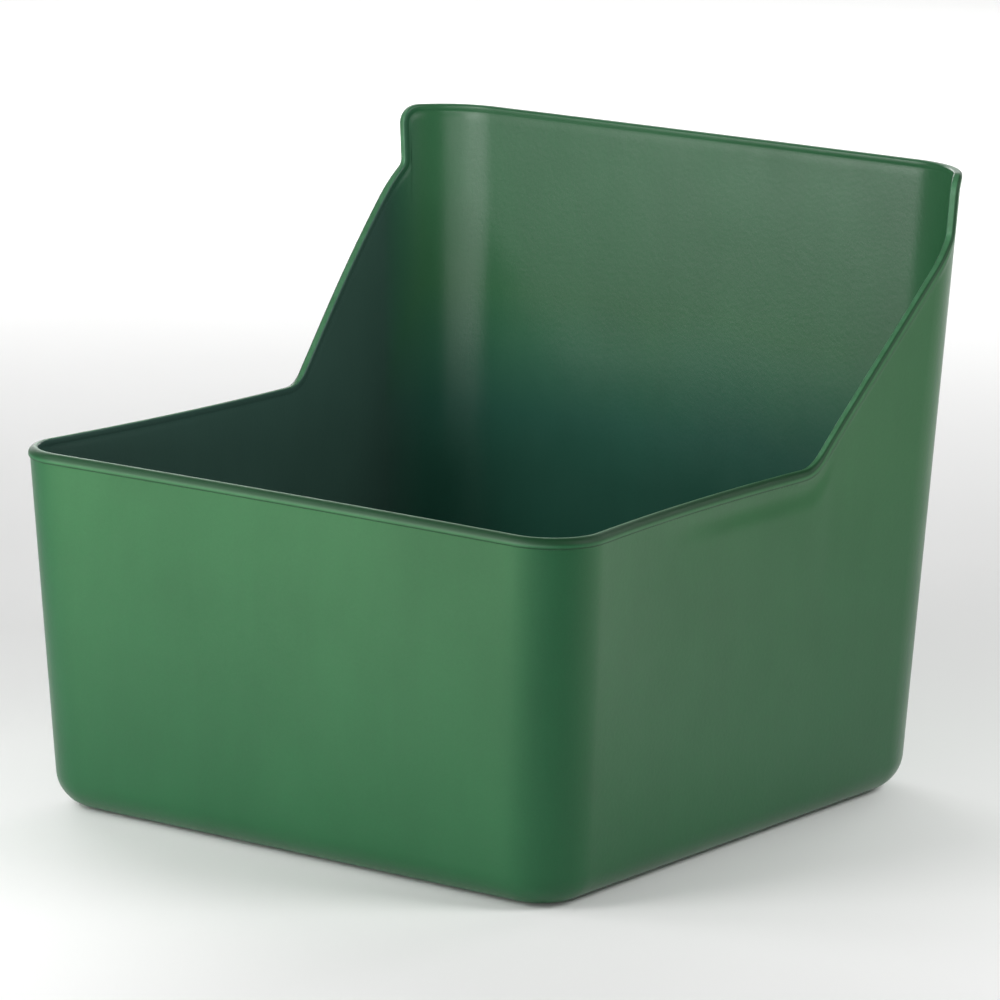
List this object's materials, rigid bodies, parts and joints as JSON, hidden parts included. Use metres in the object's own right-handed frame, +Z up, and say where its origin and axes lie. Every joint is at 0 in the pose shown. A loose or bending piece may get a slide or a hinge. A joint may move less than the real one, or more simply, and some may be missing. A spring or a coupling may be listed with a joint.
{
  "type": "feed bucket",
  "caption": "High-backed moulded stable feeder: open rectangular tub with a low front, sloping shoulders, a thin lipped rim and steel hooks behind the back for a rail or half door.",
  "frame": {"origin": "centre of the tub's flat underside, which stands on the floor", "axes": "+Z up; the low front faces -Y and the tall back faces +Y; +X is to the right when looking at the front"},
  "size_m": [0.3614, 0.4385, 0.3293],
  "materials": {
    "shell_plastic": "semi-gloss moulded polyethylene",
    "hanger_steel": "zinc plated, satin",
    "fastener_steel": "bright zinc"
  },
  "bodies": {
    "root": {"feeder_shell": "shell_plastic", "hanger_left": "hanger_steel", "hanger_right": "hanger_steel", "hanger_screw_left_lower": "fastener_steel", "hanger_screw_left_upper": "fastener_steel", "hanger_screw_right_lower": "fastener_steel", "hanger_screw_right_upper": "fastener_steel", "hanger_washer_left_lower": "fastener_steel", "hanger_washer_left_upper": "fastener_steel", "hanger_washer_right_lower": "fastener_steel", "hanger_washer_right_upper": "fastener_steel"}
  },
  "joints": []
}
